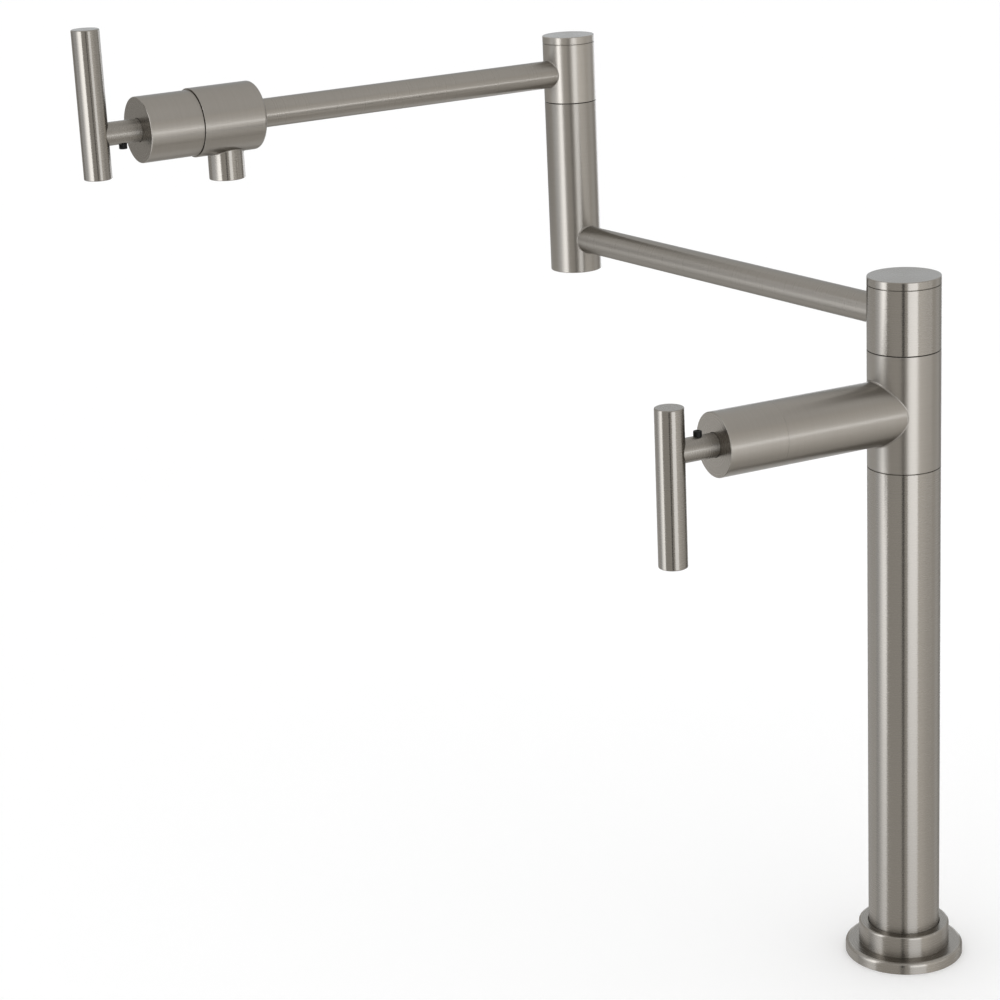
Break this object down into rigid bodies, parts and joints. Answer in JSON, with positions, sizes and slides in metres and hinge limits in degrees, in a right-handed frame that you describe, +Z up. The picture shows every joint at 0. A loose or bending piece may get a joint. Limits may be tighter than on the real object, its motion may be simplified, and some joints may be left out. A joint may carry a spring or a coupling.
{
  "type": "deck mount pot filler",
  "caption": "Tall deck mount pot filler tap with a side valve on the column, two swinging arms and a quarter-turn spout valve with a bar lever.",
  "frame": {"origin": "centre of the deck flange's underside, on the deck's top surface", "axes": "+Z up along the column, -X outward along the side valve"},
  "size_m": [0.3728, 0.3307, 0.5827],
  "materials": {
    "brushed_nickel": "fine brushed nickel plate over brass",
    "brass": "turned, unplated",
    "plain_steel": "plain stainless steel",
    "black_steel": "black oxide",
    "rubber": "matt nitrile rubber",
    "dark_polymer": "low-friction bearing plastic",
    "white_polymer": "moulded acetal",
    "ceramic": "lapped alumina ceramic"
  },
  "bodies": {
    "base": {"deck_flange": "brushed_nickel", "deck_gasket": "rubber", "mounting_shank": "brass", "under_deck_seal": "rubber", "under_deck_washer": "plain_steel", "mounting_nut": "brass", "column_foot": "brass", "column_tube": "brushed_nickel", "riser_tube": "brass", "riser_seals": "rubber", "tee_body": "brushed_nickel", "side_bonnet": "brushed_nickel", "side_seat_seal": "rubber", "side_fixed_disc": "ceramic", "side_cartridge_body": "brass", "column_pivot_post": "brass", "column_post_seals": "rubber", "column_thrust_washer": "dark_polymer", "column_slide_washer": "plain_steel", "column_circlip": "plain_steel"},
    "side_handle": {"side_moving_disc": "ceramic", "side_spindle": "brass", "side_spindle_seal": "rubber", "side_handle_stem": "brushed_nickel", "side_lever": "brushed_nickel", "side_set_screw": "black_steel"},
    "lower_arm": {"column_swivel_sleeve": "brushed_nickel", "column_cap": "brushed_nickel", "lower_arm_tube": "brushed_nickel", "elbow_body": "brushed_nickel", "elbow_pivot_post": "brass", "elbow_post_seals": "rubber", "elbow_thrust_washer": "dark_polymer", "elbow_slide_washer": "plain_steel", "elbow_circlip": "plain_steel"},
    "upper_arm": {"elbow_swivel_sleeve": "brushed_nickel", "elbow_cap": "brushed_nickel", "upper_arm_tube": "brushed_nickel", "spout_valve_body": "brushed_nickel", "spout_bonnet": "brushed_nickel", "spout_seat_seal": "rubber", "spout_fixed_disc": "ceramic", "spout_cartridge_body": "brass", "nozzle": "brushed_nickel", "flow_straightener": "white_polymer"},
    "spout_handle": {"spout_moving_disc": "ceramic", "spout_spindle": "brass", "spout_spindle_seal": "rubber", "spout_handle_stem": "brushed_nickel", "spout_lever": "brushed_nickel", "spout_set_screw": "black_steel"}
  },
  "joints": [
    {"name": "side_lever_turn", "type": "hinge", "parent": "base", "child": "side_handle", "pos_m": [-0.1394, 0, 0.3064], "axis": [-1, 0, 0], "range_deg": [0, 90]},
    {"name": "column_swivel", "type": "hinge", "parent": "base", "child": "lower_arm", "pos_m": [0, 0, 0.3553], "axis": [0, 0, 1], "continuous": true},
    {"name": "elbow_swivel", "type": "hinge", "parent": "lower_arm", "child": "upper_arm", "pos_m": [-0.0344, 0.28423, 0.4528], "axis": [0, 0, 1], "continuous": true},
    {"name": "spout_lever_turn", "type": "hinge", "parent": "upper_arm", "child": "spout_handle", "pos_m": [-0.3338, 0.25856, 0.4528], "axis": [-0.9963, -0.0854, 0], "range_deg": [0, 90]}
  ]
}
